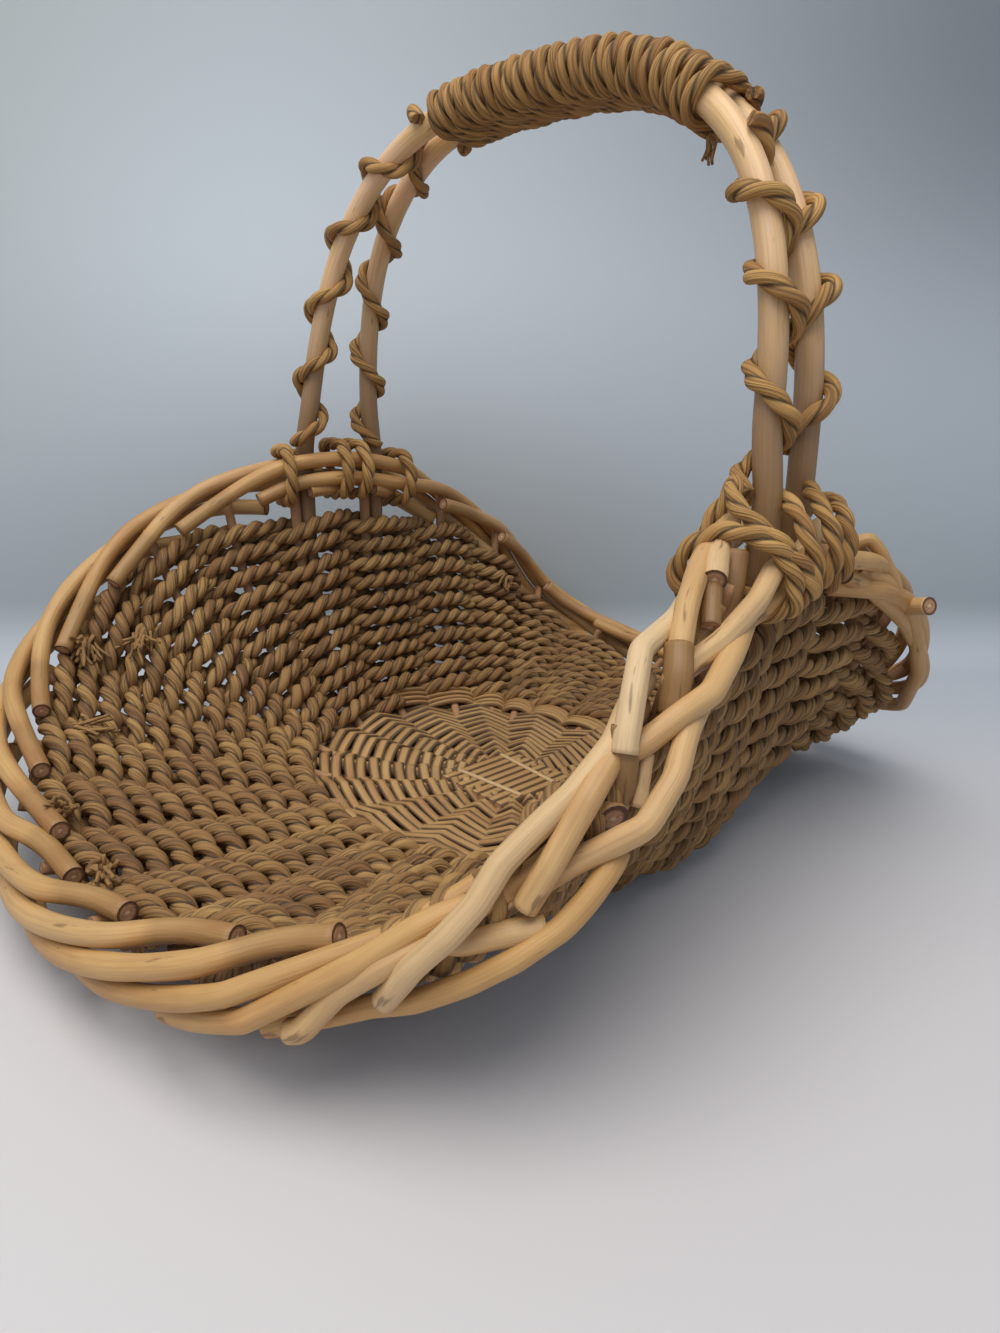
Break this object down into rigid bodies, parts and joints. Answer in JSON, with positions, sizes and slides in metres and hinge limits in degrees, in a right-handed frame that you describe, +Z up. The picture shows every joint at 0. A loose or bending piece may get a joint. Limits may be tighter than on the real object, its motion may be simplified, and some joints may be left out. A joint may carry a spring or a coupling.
{
  "type": "scoop basket",
  "caption": "Oval gathering basket with low scoop ends, high sides, rolled rod rim and a tall arched handle wound with rope.",
  "frame": {"origin": "underside of the base, below the middle of the handle", "axes": "+Z up, +X from the front scoop to the back end, Y across the handle"},
  "size_m": [0.4411, 0.3764, 0.3454],
  "materials": {
    "split_willow": "bare split willow, matt",
    "stake_willow": "bare peeled willow",
    "seagrass": "twisted two-ply grass rope, matt",
    "border_willow": "peeled willow rod, satin",
    "handle_willow": "peeled willow rod, satin",
    "wound_seagrass": "twisted two-ply grass rope, matt"
  },
  "bodies": {
    "root": {"base_mat": "split_willow", "stake_01": "stake_willow", "stake_02": "stake_willow", "stake_03": "stake_willow", "stake_04": "stake_willow", "stake_05": "stake_willow", "stake_06": "stake_willow", "stake_07": "stake_willow", "stake_08": "stake_willow", "stake_09": "stake_willow", "stake_10": "stake_willow", "stake_11": "stake_willow", "stake_12": "stake_willow", "stake_13": "stake_willow", "stake_14": "stake_willow", "stake_15": "stake_willow", "stake_16": "stake_willow", "stake_17": "stake_willow", "stake_18": "stake_willow", "stake_19": "stake_willow", "stake_20": "stake_willow", "stake_21": "stake_willow", "stake_22": "stake_willow", "stake_23": "stake_willow", "stake_24": "stake_willow", "weave_rope_a": "seagrass", "weave_rope_b": "seagrass", "border_rod_01": "border_willow", "border_rod_02": "border_willow", "border_rod_03": "border_willow", "border_rod_04": "border_willow", "border_rod_05": "border_willow", "border_rod_06": "border_willow", "border_rod_07": "border_willow", "border_rod_08": "border_willow", "border_rod_09": "border_willow", "border_rod_10": "border_willow", "border_rod_11": "border_willow", "border_rod_12": "border_willow", "border_rod_13": "border_willow", "border_rod_14": "border_willow", "border_rod_15": "border_willow", "border_rod_16": "border_willow", "border_rod_17": "border_willow", "border_rod_18": "border_willow", "border_rod_19": "border_willow", "border_rod_20": "border_willow", "border_rod_21": "border_willow", "border_rod_22": "border_willow", "border_rod_23": "border_willow", "border_rod_24": "border_willow", "handle_rod_front": "handle_willow", "handle_rod_back": "handle_willow", "grip_winding": "wound_seagrass", "leg_winding_near_front": "wound_seagrass", "leg_winding_far_front": "wound_seagrass", "leg_winding_near_back": "wound_seagrass", "leg_winding_far_back": "wound_seagrass", "lashing_far": "wound_seagrass", "lashing_near": "wound_seagrass"}
  },
  "joints": []
}
